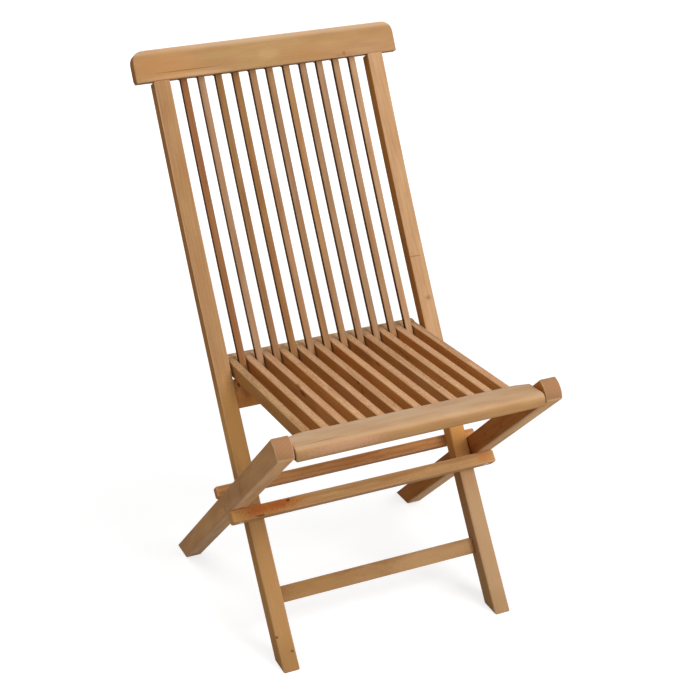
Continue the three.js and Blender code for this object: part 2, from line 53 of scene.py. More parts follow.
# A back slat's section in the photo as a share of its solid's, and how far it is let in
SLAT_WIDTH_SHARE = 0.81
SLAT_DEPTH_SHARE = 0.80
SLAT_LET_IN = 0.008

# How far a post's two side faces lie from the chair's middle, in its solid and in the photo
POST_SOLID = (0.1750, 0.2000)
POST_REAL = (0.1736, 0.2006)

# The boards' eased edges, and the limits that tell facets and edges apart
EASE_WIDTH = 0.0007
EASE_SEGMENTS = 2
MERGE_DISTANCE = 1e-6
COPLANAR = math.radians(0.15)
SHARP = math.radians(25)
FACES_ALONG = 0.95
CAPS_ALONG = 0.9


def side_direction(degrees):
    """A direction in the side view, by its angle from straight up towards the rear."""
    angle = math.radians(degrees)
    return Vector((0.0, math.sin(angle), math.cos(angle)))


ACROSS = Vector((1.0, 0.0, 0.0))
REARWARD = Vector((0.0, 1.0, 0.0))
UP_POST = side_direction(POST_LEAN)
UP_SLAT = side_direction(SLAT_LEAN)
UP_LEG = side_direction(LEG_RISE - 90.0)
BACK_SEAT = side_direction(90.0 + SEAT_FALL)
UP_SEAT = ACROSS.cross(BACK_SEAT)
UNDER_LEG = ACROSS.cross(UP_LEG)
FRONT_SLAT = ACROSS.cross(UP_SLAT)


def srgb(r, g, b):
    """A colour written as eight-bit sRGB, in linear values with alpha."""
    def linear(c):
        c /= 255.0
        return c / 12.92 if c <= 0.04045 else ((c + 0.055) / 1.055) ** 2.4
    return (linear(r), linear(g), linear(b), 1.0)


WHITE = (1.0, 1.0, 1.0, 1.0)

# Tones of oiled teak
GOLD = srgb(180, 138, 86)
TAN = srgb(176, 134, 92)
HONEY = srgb(190, 148, 100)
PALE = srgb(196, 160, 120)
PINK = srgb(186, 144, 110)
RED = srgb(158, 98, 58)
OLIVE = srgb(162, 122, 76)
GREY = srgb(166, 130, 98)
BROWN = srgb(154, 108, 70)
DUSK = srgb(140, 94, 52)
# The next three are painted light and shade: shade for side faces, a darker shade for the back slats'
# sides, and light for the seat front rail's top
SHADE = srgb(124, 74, 30)
BACK_SLAT_SIDE_SHADE = srgb(80, 42, 6)
LIT_RAIL_TOP = srgb(198, 169, 140)
KNOT = srgb(88, 48, 20)

# Tones that the grain lays over a board's own
# Drift of the painted light on a board's top face
TOP_DRIFT_TONE = srgb(190, 152, 112)
CLOUD_TINT = srgb(226, 208, 188)
RING_TINT = srgb(196, 168, 138)
STREAK_TINT = srgb(204, 178, 148)
FIBRE_TINT = srgb(208, 184, 158)
PORE_TINT = srgb(150, 118, 88)
DOT_TINT = srgb(196, 160, 126)
SHINE_TONE = srgb(220, 186, 150)
# Arrises scuffed paler, and also a painted highlight along the edges
SCUFF_AND_SHEEN_TONE = srgb(218, 178, 136)
END_RING_TINT = srgb(190, 150, 120)

# Fineness of each pattern along and across the grain, per metre
SLOW_SCALE = (4.0, 20.0, 20.0)
CLOUD_SCALE = (13.0, 55.0, 55.0)
FIBRE_SCALE = (16.0, 700.0, 700.0)
STREAK_SCALE = (5.0, 190.0, 190.0)
PORE_SCALE = (110.0, 1500.0, 1500.0)
SPECK_SCALE = (380.0, 700.0, 700.0)
FRAY_SCALE = (420.0, 420.0, 420.0)
BRUSH_SCALE = (40.0, 900.0, 900.0)

# Growth rings: how far apart they are, how far they wander, how they stretch along
# the grain, and how thin they are
RING_SPACING = 0.0052
RING_WANDER = 0.008
RING_STRETCH = (0.014, 1.0, 1.0)
RING_THINNESS = 3.0

# Where each pattern starts and ends, and the share that it has there
DRIFT = (0.35, 0.65)
# How side faces drift into painted shade, and how the painted light on top faces drifts
SIDE_DRIFT = (0.35, 0.65, 0.0, 0.3)
TOP_DRIFT = (0.42, 0.6, 0.0, 0.6)
CLOUD = (0.35, 0.7, 0.0, 0.5)
STREAK = (0.52, 0.8, 0.0, 0.25)
FIBRE = (0.5, 0.85, 0.0, 0.3)
PORE = (0.64, 0.74, 0.0, 0.45)
PORE_DEPTH = (0.64, 0.74, 0.0, 0.7)
END_PORE = (0.6, 0.7, 0.0, 0.4)
DOT = (0.55, 0.72)
SHINE = (0.42, 0.28)
# Where arrises are scuffed paler and given a painted highlight
SCUFF_AND_SHEEN_SPREAD = (0.3, 0.6, 0.25, 0.75)
DOT_SHARE = 0.75
SHINE_SHARE = 0.55
END_RING_SHARE = 0.08

# How far a face has to be turned to count as an end, a side, a top or an arris
END_TURN = (0.75, 0.95)
SIDE_TURN = (0.8, 0.95)
TOP_TURN = (0.45, 0.95)
ARRIS_TURN = (0.15, 0.24)

# Share of a mark's size that has its full strength
MARK_CORE = 0.35

# Brushed steel
STEEL_LIGHT = srgb(196, 197, 199)
STEEL_DARK = srgb(168, 168, 170)
STEEL_ROUGHNESS = (0.3, 0.7, 0.28, 0.46)

# Surface of the oiled wood
ROUGHNESS = 0.6
ROUGHNESS_OF_FIBRE = 0.16
ROUGHNESS_OF_END = 0.12
HEIGHT_OF_FIBRE = 0.6
HEIGHT_OF_RING = 0.06
OIL_SPECULAR = 0.04
BUMP_STRENGTH = 0.3
BUMP_DISTANCE = 0.0004

# Bounds of the random shift and heart line of each board
SHIFT_MOST = 9
HEART_ASIDE = (0.02, 0.09)
HEART_BELOW = (0.02, 0.06)


class Nodes:
    """Short calls that add nodes to one tree and link them."""

    def __init__(self, tree):
        self.tree = tree

    def add(self, kind, **settings):
        node = self.tree.nodes.new(kind)
        for name, value in settings.items():
            setattr(node, name, value)
        return node

    def put(self, socket, value):
        if isinstance(value, bpy.types.NodeSocket):
            self.tree.links.new(value, socket)
        else:
            socket.default_value = value

    def math(self, operation, a, b=0.0, c=None, clamp=False):
        node = self.add("ShaderNodeMath", operation=operation, use_clamp=clamp)
        self.put(node.inputs[0], a)
        self.put(node.inputs[1], b)
        if c is not None:
            self.put(node.inputs[2], c)
        return node.outputs[0]

    def vector(self, operation, a, b=(0.0, 0.0, 0.0)):
        node = self.add("ShaderNodeVectorMath", operation=operation)
        self.put(node.inputs[0], a)
        self.put(node.inputs[1], b)
        return node.outputs["Value"] if operation in ("DOT_PRODUCT", "LENGTH") else node.outputs[0]

    def noise(self, where, detail=2.0, roughness=0.5):
        node = self.add("ShaderNodeTexNoise", noise_dimensions="3D")
        self.put(node.inputs["Vector"], where)
        self.put(node.inputs["Scale"], 1.0)
        self.put(node.inputs["Detail"], detail)
        self.put(node.inputs["Roughness"], roughness)
        return node.outputs["Fac"]

    def spread(self, value, low, high, to_low=0.0, to_high=1.0, smooth=False):
        node = self.add("ShaderNodeMapRange", clamp=True)
        if smooth:
            node.interpolation_type = "SMOOTHSTEP"
        for i, v in enumerate((value, low, high, to_low, to_high)):
            self.put(node.inputs[i], v)
        return node.outputs[0]

    def blend(self, factor, a, b, mode="MIX"):
        node = self.add("ShaderNodeMix", data_type="RGBA", blend_type=mode)
        self.put(node.inputs[0], factor)
        self.put(node.inputs[6], a)
        self.put(node.inputs[7], b)
        return node.outputs[2]

    def tint(self, factor, tone, paint):
        return self.blend(factor, tone, paint, "MULTIPLY")

    def combine(self, x, y, z):
        node = self.add("ShaderNodeCombineXYZ")
        for i, v in enumerate((x, y, z)):
            self.put(node.inputs[i], v)
        return node.outputs[0]

    def show(self, shader, output="ShaderNodeOutputMaterial"):
        self.put(self.add(output).inputs["Surface"], shader.outputs[0])


def emptied(owner):
    """The nodes of a material or a world, with none in place yet."""
    owner.use_nodes = True
    owner.node_tree.nodes.clear()
    return Nodes(owner.node_tree)


def teak_group():
    """Teak in board coordinates: X runs along the grain, Y and Z across it, in metres."""
    tree = bpy.data.node_groups.new("teak", "ShaderNodeTree")
    taken = (
        ("Place", "NodeSocketVector"),
        ("Heart", "NodeSocketVector"),
        ("Grain", "NodeSocketFloat"),
        ("Streaks", "NodeSocketFloat"),
        ("Side", "NodeSocketFloat"),
        ("Top", "NodeSocketFloat"),
        ("Specks", "NodeSocketFloat"),
        ("End", "NodeSocketFloat"),
        ("Scuffs And Sheen", "NodeSocketFloat"),
        ("Tone", "NodeSocketColor"),
        ("Drift Tone", "NodeSocketColor"),
        ("Side Tone", "NodeSocketColor"),
        ("Top Tone", "NodeSocketColor"),
        ("End Tone", "NodeSocketColor"),
    )
    returned = (
        ("Color", "NodeSocketColor"),
        ("Roughness", "NodeSocketFloat"),
        ("Height", "NodeSocketFloat"),
    )
    for in_out, sockets in (("INPUT", taken), ("OUTPUT", returned)):
        for name, kind in sockets:
            tree.interface.new_socket(name=name, in_out=in_out, socket_type=kind)
    n = Nodes(tree)
    given = n.add("NodeGroupInput").outputs
    place = given["Place"]

    # Patterns, from the slow drift of tone along a board to its pores
    slow = n.noise(n.vector("MULTIPLY", place, SLOW_SCALE))
    cloud = n.noise(n.vector("MULTIPLY", place, CLOUD_SCALE), detail=3.0)
    fibre = n.noise(n.vector("MULTIPLY", place, FIBRE_SCALE), detail=3.0, roughness=0.6)
    streak = n.noise(n.vector("MULTIPLY", place, STREAK_SCALE))
    pore = n.noise(n.vector("MULTIPLY", place, PORE_SCALE), detail=1.0)
    speck = n.noise(n.vector("MULTIPLY", place, SPECK_SCALE), detail=1.0)

    # Growth rings about a heart line that lies off to one side of the board
    wander = n.math("MULTIPLY", n.math("SUBTRACT", cloud, 0.5), RING_WANDER)
    flat = n.vector("MULTIPLY", n.vector("ADD", place, given["Heart"]), RING_STRETCH)
    reach = n.math("ADD", n.vector("LENGTH", flat), wander)
    ring = n.math("SINE", n.math("MULTIPLY", reach, 2 * math.pi / RING_SPACING))
    ring = n.math("POWER", n.math("MULTIPLY_ADD", ring, 0.5, 0.5), RING_THINNESS)

    # Base tone of each face: side faces drift into painted shade, and the face that the Top mask picks
    # gets a paler tone as painted light
    tone = n.blend(n.spread(slow, *DRIFT), given["Tone"], given["Drift Tone"])
    side = n.blend(n.spread(slow, *SIDE_DRIFT), given["Side Tone"], SHADE)
    tone = n.blend(given["Side"], tone, side)
    top = n.blend(n.spread(slow, *TOP_DRIFT), given["Top Tone"], TOP_DRIFT_TONE)
    tone = n.blend(given["Top"], tone, top)

    # Grain laid over the base tone
    tone = n.tint(n.spread(cloud, *CLOUD), tone, CLOUD_TINT)
    tone = n.tint(n.math("MULTIPLY", ring, given["Grain"]), tone, RING_TINT)
    for pattern, span, paint in (
        (streak, STREAK, STREAK_TINT),
        (fibre, FIBRE, FIBRE_TINT),
        (pore, PORE, PORE_TINT),
    ):
        factor = n.math("MULTIPLY", n.spread(pattern, *span), given["Streaks"])
        tone = n.tint(factor, tone, paint)

    # Saw specks, both dark and shining
    dots = n.math("MULTIPLY", n.spread(speck, *DOT), given["Specks"])
    tone = n.tint(n.math("MULTIPLY", dots, DOT_SHARE), tone, DOT_TINT)
    shine = n.math("MULTIPLY", n.spread(speck, *SHINE), given["Specks"])
    tone = n.blend(n.math("MULTIPLY", shine, SHINE_SHARE), tone, SHINE_TONE)

    # Arrises, scuffed paler and also given a painted highlight along the edges
    arris_scuff_and_sheen = n.math("MULTIPLY", given["Scuffs And Sheen"], n.spread(cloud, *SCUFF_AND_SHEEN_SPREAD))
    tone = n.blend(arris_scuff_and_sheen, tone, SCUFF_AND_SHEEN_TONE)

    # End grain
    cut = n.tint(n.math("MULTIPLY", ring, END_RING_SHARE), given["End Tone"], END_RING_TINT)
    cut = n.tint(n.spread(pore, *END_PORE), cut, PORE_TINT)
    colour = n.blend(given["End"], tone, cut)

    rough = n.math("MULTIPLY_ADD", fibre, ROUGHNESS_OF_FIBRE, ROUGHNESS)
    rough = n.math("ADD", rough, n.math("MULTIPLY", given["End"], ROUGHNESS_OF_END))
    height = n.math("MULTIPLY", ring, HEIGHT_OF_RING)
    height = n.math("MULTIPLY_ADD", fibre, HEIGHT_OF_FIBRE, height)
    height = n.math("SUBTRACT", height, n.spread(pore, *PORE_DEPTH))

    out = n.add("NodeGroupOutput")
    n.put(out.inputs["Color"], colour)
    n.put(out.inputs["Roughness"], rough)
    n.put(out.inputs["Height"], height)
    return tree


TEAK = teak_group()


class Mark:
    """A knot, stain or growth line: a soft spot about a place, in metres."""

    def __init__(self, place, size, strength, paint=KNOT, ragged=0.0):
        self.place = place
        self.size = size
        self.strength = strength
        self.paint = paint
        self.ragged = ragged


class Board:
    """Tones and marks of one board.

    tone, drift and end are the paints of its faces. side and top are painted shade and light:
    side is the colour of its side faces, set for the shade that they lie in, and top a paler
    colour of the face that facing points out, as painted light. grain, streaks, wear and
    specks are the strengths of its growth rings, fibre, scuffed arrises with their painted
    highlight, and saw specks. upright points square to the faces of a board that runs across
    the chair, and facing is the way in which the face with the top paint looks.
    """

    def __init__(
        self, tone=TAN, drift=GOLD, side=HONEY, top=None, end=RED, grain=0.35, streaks=1.0,
        upright=UP_SLAT, scuff_and_sheen=1.0, facing=UP_SEAT, specks=0.0, marks=(),
    ):
        self.tone = tone
        self.drift = drift
        self.side = side
        self.top = top
        self.end = end
        self.grain = grain
        self.streaks = streaks
        self.upright = upright
        self.scuff_and_sheen = scuff_and_sheen
        self.facing = facing
        self.specks = specks
        self.marks = marks


def add_mark(n, colour, place, fray, mark):
    """A colour with one mark painted over it."""
    scale = tuple(1.0 / size for size in mark.size)
    off = n.vector("MULTIPLY", n.vector("SUBTRACT", place, mark.place), scale)
    off = n.vector("LENGTH", off)
    if mark.ragged:
        torn = n.math("MULTIPLY", n.math("SUBTRACT", fray, 0.5), mark.ragged)
        off = n.math("ADD", off, torn)
    near = n.spread(off, MARK_CORE, 1.0, mark.strength, 0.0, smooth=True)
    return n.blend(near, colour, mark.paint)


def teak(name, along, board):
    """A material for one board whose grain runs along a direction."""
    made = bpy.data.materials.new(name)
    n = emptied(made)
    coordinates = n.add("ShaderNodeTexCoord").outputs
    place = coordinates["Object"]
    normal = coordinates["Normal"]
    crosswise = along == ACROSS
    second = REARWARD if crosswise else ACROSS
    third = along.cross(second).normalized()
    axes = [n.vector("DOT_PRODUCT", place, tuple(v)) for v in (along, second, third)]
    shift = [dice.uniform(0, SHIFT_MOST) for _ in range(3)]
    aside = dice.choice((-1, 1)) * dice.uniform(*HEART_ASIDE)
    below = dice.choice((-1, 1)) * dice.uniform(*HEART_BELOW)
    group = n.add("ShaderNodeGroup", node_tree=TEAK)
    given = {
        "Place": n.vector("ADD", n.combine(*axes), tuple(shift)),
        "Heart": tuple(h - s for h, s in zip((0.0, aside, below), shift)),
        "Grain": board.grain,
        "Streaks": board.streaks,
        "Tone": board.tone,
        "Drift Tone": board.drift,
        "Side Tone": board.side,
        "Top Tone": board.top or board.tone,
        "End Tone": board.end,
    }

    # Masks from the way that each face is turned: side faces for painted shade, arrises for scuffs with a
    # painted highlight, and the facing face for painted light
    turned = n.math("ABSOLUTE", n.vector("DOT_PRODUCT", normal, tuple(along)))
    given["End"] = n.spread(turned, *END_TURN)
    if crosswise:
        across = n.vector("DOT_PRODUCT", normal, tuple(board.upright))
    else:
        across = n.math("ABSOLUTE", n.vector("DOT_PRODUCT", normal, tuple(ACROSS)))
        given["Side"] = n.spread(across, *SIDE_TURN)
    square = n.math("MULTIPLY", across, across)
    ridge = n.math("MULTIPLY", square, n.math("SUBTRACT", 1.0, square))
    given["Scuffs And Sheen"] = n.spread(ridge, *ARRIS_TURN, 0.0, board.scuff_and_sheen)
    if board.top:
        facing = n.vector("DOT_PRODUCT", normal, tuple(board.facing))
        given["Top"] = n.spread(facing, *TOP_TURN)
        if board.specks:
            given["Specks"] = n.math("MULTIPLY", given["Top"], board.specks)
    for socket, value in given.items():
        n.put(group.inputs[socket], value)

    colour = group.outputs["Color"]
    if board.marks:
        shifted = n.vector("ADD", place, tuple(shift))
        fray = n.noise(n.vector("MULTIPLY", shifted, FRAY_SCALE))
        for mark in board.marks:
            colour = add_mark(n, colour, place, fray, mark)

    bump = n.add("ShaderNodeBump")
    n.put(bump.inputs["Strength"], BUMP_STRENGTH)
    n.put(bump.inputs["Distance"], BUMP_DISTANCE)
    n.put(bump.inputs["Height"], group.outputs["Height"])
    shader = n.add("ShaderNodeBsdfPrincipled")
    n.put(shader.inputs["Base Color"], colour)
    n.put(shader.inputs["Roughness"], group.outputs["Roughness"])
    n.put(shader.inputs["Specular IOR Level"], OIL_SPECULAR)
    n.put(shader.inputs["Normal"], bump.outputs[0])
    n.show(shader)
    return made


def steel(name):
    """Plain brushed steel."""
    made = bpy.data.materials.new(name)
    n = emptied(made)
    place = n.add("ShaderNodeTexCoord").outputs["Object"]
    brushed = n.noise(n.vector("MULTIPLY", place, BRUSH_SCALE), detail=3.0)
    shader = n.add("ShaderNodeBsdfPrincipled")
    n.put(shader.inputs["Metallic"], 1.0)
    n.put(shader.inputs["Base Color"], n.blend(brushed, STEEL_LIGHT, STEEL_DARK))
    n.put(shader.inputs["Roughness"], n.spread(brushed, *STEEL_ROUGHNESS))
    n.show(shader)
    return made


def front_line(shape):
    """Points down the middle of a slat's front face, from its foot to its top."""
    points = {}
    for face in shape.faces:
        if face.normal.dot(FRONT_SLAT) > FACES_ALONG:
            for v in face.verts:
                points[round(v.co.z, 5)] = Vector((0.0, v.co.y, v.co.z))
    return [points[z] for z in sorted(points)]


def nearest_on(line, point):
    """The point of a line of points that lies nearest to a point in the side view."""
    flat = Vector((0.0, point.y, point.z))
    best = None
    for i in range(len(line) - 1):
        a, b = line[i], line[i + 1]
        share = (flat - a).dot(b - a) / (b - a).length_squared
        share = max(share, -math.inf if i == 0 else 0.0)
        share = min(share, math.inf if i == len(line) - 2 else 1.0)
        found = a + (b - a) * share
        if best is None or (flat - found).length < (flat - best).length:
            best = found
    return best


def pour(source, target):
    """All of one shape added to another, and the first one freed."""
    kept = bpy.data.meshes.new("kept")
    source.to_mesh(kept)
    source.free()
    target.from_mesh(kept)
    bpy.data.meshes.remove(kept)


def tenon(shape, end):
    """The part of a back slat that is let in at its foot (-1) or its top (1)."""
    plug = shape.copy()
    caps = [face for face in plug.faces if abs(face.normal.dot(UP_SLAT)) > CAPS_ALONG]
    cap = max(caps, key=lambda face: end * face.calc_center_median().z)
    mouth = cap.calc_center_median() - cap.normal * SLAT_LET_IN
    parts = plug.verts[:] + plug.edges[:] + plug.faces[:]
    bmesh.ops.bisect_plane(plug, geom=parts, plane_co=mouth, plane_no=cap.normal, clear_inner=True)
    bmesh.ops.holes_fill(plug, edges=[edge for edge in plug.edges if edge.is_boundary])
    return plug


def slim(shape):
    """A back slat at its section in the photo, with its full tenons left in their mortises."""
    tenons = bmesh.new()
    for end in (-1, 1):
        pour(tenon(shape, end), tenons)
    line = front_line(shape)
    middle = sum(v.co.x for v in shape.verts) / len(shape.verts)
    for v in shape.verts:
        front = nearest_on(line, v.co)
        v.co.x = middle + (v.co.x - middle) * SLAT_WIDTH_SHARE
        v.co.y = front.y + (v.co.y - front.y) * SLAT_DEPTH_SHARE
        v.co.z = front.z + (v.co.z - front.z) * SLAT_DEPTH_SHARE
    pour(tenons, shape)


def widen(shape):
    """A post at its width in the photo, its two side faces moved apart."""
    share = (POST_REAL[1] - POST_REAL[0]) / (POST_SOLID[1] - POST_SOLID[0])
    for v in shape.verts:
        away = POST_REAL[0] + (abs(v.co.x) - POST_SOLID[0]) * share
        v.co.x = math.copysign(away, v.co.x)


def add_object(name, data):
    thing = bpy.data.objects.new(name, data)
    bpy.context.scene.collection.objects.link(thing)
    return thing


def dress(node, body, material):
    """A board made from its solid: coplanar facets joined, and the eased edges rounded."""
    shape = bmesh.new()
    shape.from_mesh(frame["nodes"][node].data)
    bmesh.ops.remove_doubles(shape, verts=shape.verts, dist=MERGE_DISTANCE)
    bmesh.ops.dissolve_limit(shape, angle_limit=COPLANAR, verts=shape.verts, edges=shape.edges)
    if node.startswith("back_slat"):
        slim(shape)
    elif node.startswith("post"):
        widen(shape)
    for face in shape.faces:
        face.smooth = True
    mesh = bpy.data.meshes.new(node + "_wood")
    shape.to_mesh(mesh)
    shape.free()
    mesh.materials.append(material)
    piece = add_object(node + "_wood", mesh)
    ease = piece.modifiers.new("ease", "BEVEL")
    ease.width = EASE_WIDTH
    ease.segments = EASE_SEGMENTS
    ease.limit_method = "ANGLE"
    ease.angle_limit = SHARP
    ease.harden_normals = True
    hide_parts(node)
    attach(piece, body)


# Tones of single boards
# Legs: side faces in painted shade, and the under faces painted light
LEG_SHADE = srgb(192, 126, 66)
LEG_FACE = srgb(158, 126, 88)
SHADED_LEG_OUTER = srgb(206, 156, 106)
LIT_LEG_UNDER_LEFT = srgb(240, 190, 140)
LIT_LEG_UNDER_RIGHT = srgb(246, 200, 150)
TIP = srgb(168, 124, 88)
# Seat slats: side tones set for the shade between the slats, as painted shade, and paler top tones, as
# painted light
SHADED_SLAT_SIDE = srgb(204, 142, 76)
SHADED_SLAT_SIDE_WARM = srgb(202, 138, 72)
SHADED_SLAT_SIDE_FAIR = srgb(196, 140, 80)
LIT_SLAT_TOP = srgb(208, 164, 126)
LIT_SLAT_TOP_ROSY = srgb(208, 164, 122)
LIT_SLAT_TOP_DULL = srgb(184, 146, 104)

# Painted shade of the seat slats' sides and painted light of their tops, in order along X
SHADED_SLAT_SIDES = (
    SHADED_SLAT_SIDE_FAIR, SHADED_SLAT_SIDE, SHADED_SLAT_SIDE_FAIR, SHADED_SLAT_SIDE, SHADED_SLAT_SIDE_FAIR, SHADED_SLAT_SIDE,
    SHADED_SLAT_SIDE_WARM, SHADED_SLAT_SIDE, SHADED_SLAT_SIDE_FAIR, SHADED_SLAT_SIDE, SHADED_SLAT_SIDE_WARM, SHADED_SLAT_SIDE,
)
LIT_SLAT_TOPS = (
    LIT_SLAT_TOP_DULL, LIT_SLAT_TOP, LIT_SLAT_TOP, LIT_SLAT_TOP_ROSY, LIT_SLAT_TOP, LIT_SLAT_TOP,
    LIT_SLAT_TOP_ROSY, LIT_SLAT_TOP, LIT_SLAT_TOP, LIT_SLAT_TOP_ROSY, LIT_SLAT_TOP, LIT_SLAT_TOP,
)

# Tone and drift of each back slat, in the same order
BACK_TONES = (
    (srgb(156, 108, 72), BROWN),
    (srgb(180, 142, 110), GREY),
    (srgb(158, 118, 82), srgb(158, 120, 78)),
    (OLIVE, BROWN),
    (srgb(174, 134, 98), srgb(166, 126, 90)),
    (GREY, OLIVE),
    (TAN, GREY),
    (GREY, srgb(168, 132, 98)),
    (srgb(180, 142, 106), GREY),
    (srgb(184, 148, 112), srgb(176, 138, 102)),
    (srgb(196, 162, 126), srgb(190, 152, 116)),
)

# Knots and dark lines on the seat slats, by the slat's number
SEAT_MARKS = {
    3: (
        Mark((-0.1100, -0.0850, 0.4262), (0.005, 0.012, 0.004), 0.75, DUSK, 1.2),
        Mark((-0.1102, -0.1050, 0.4220), (0.003, 0.018, 0.005), 0.7, KNOT, 1.4),
    ),
    6: (
        Mark((-0.0214, -0.1140, 0.4250), (0.003, 0.007, 0.003), 0.8, KNOT, 0.8),
        Mark((-0.0214, -0.1281, 0.4180), (0.003, 0.0025, 0.009), 0.75, KNOT, 0.8),
        Mark((-0.0214, -0.1345, 0.4170), (0.003, 0.0015, 0.007), 0.55, KNOT, 0.8),
    ),
    8: (
        Mark((0.0375, -0.0050, 0.4180), (0.004, 0.050, 0.012), 0.6, BROWN, 0.8),
        Mark((0.0375, -0.0573, 0.4215), (0.003, 0.012, 0.0022), 0.8, KNOT, 0.8),
    ),
    10: (Mark((0.0970, -0.0300, 0.4150), (0.004, 0.055, 0.0016), 0.6, KNOT, 1.6),),
}
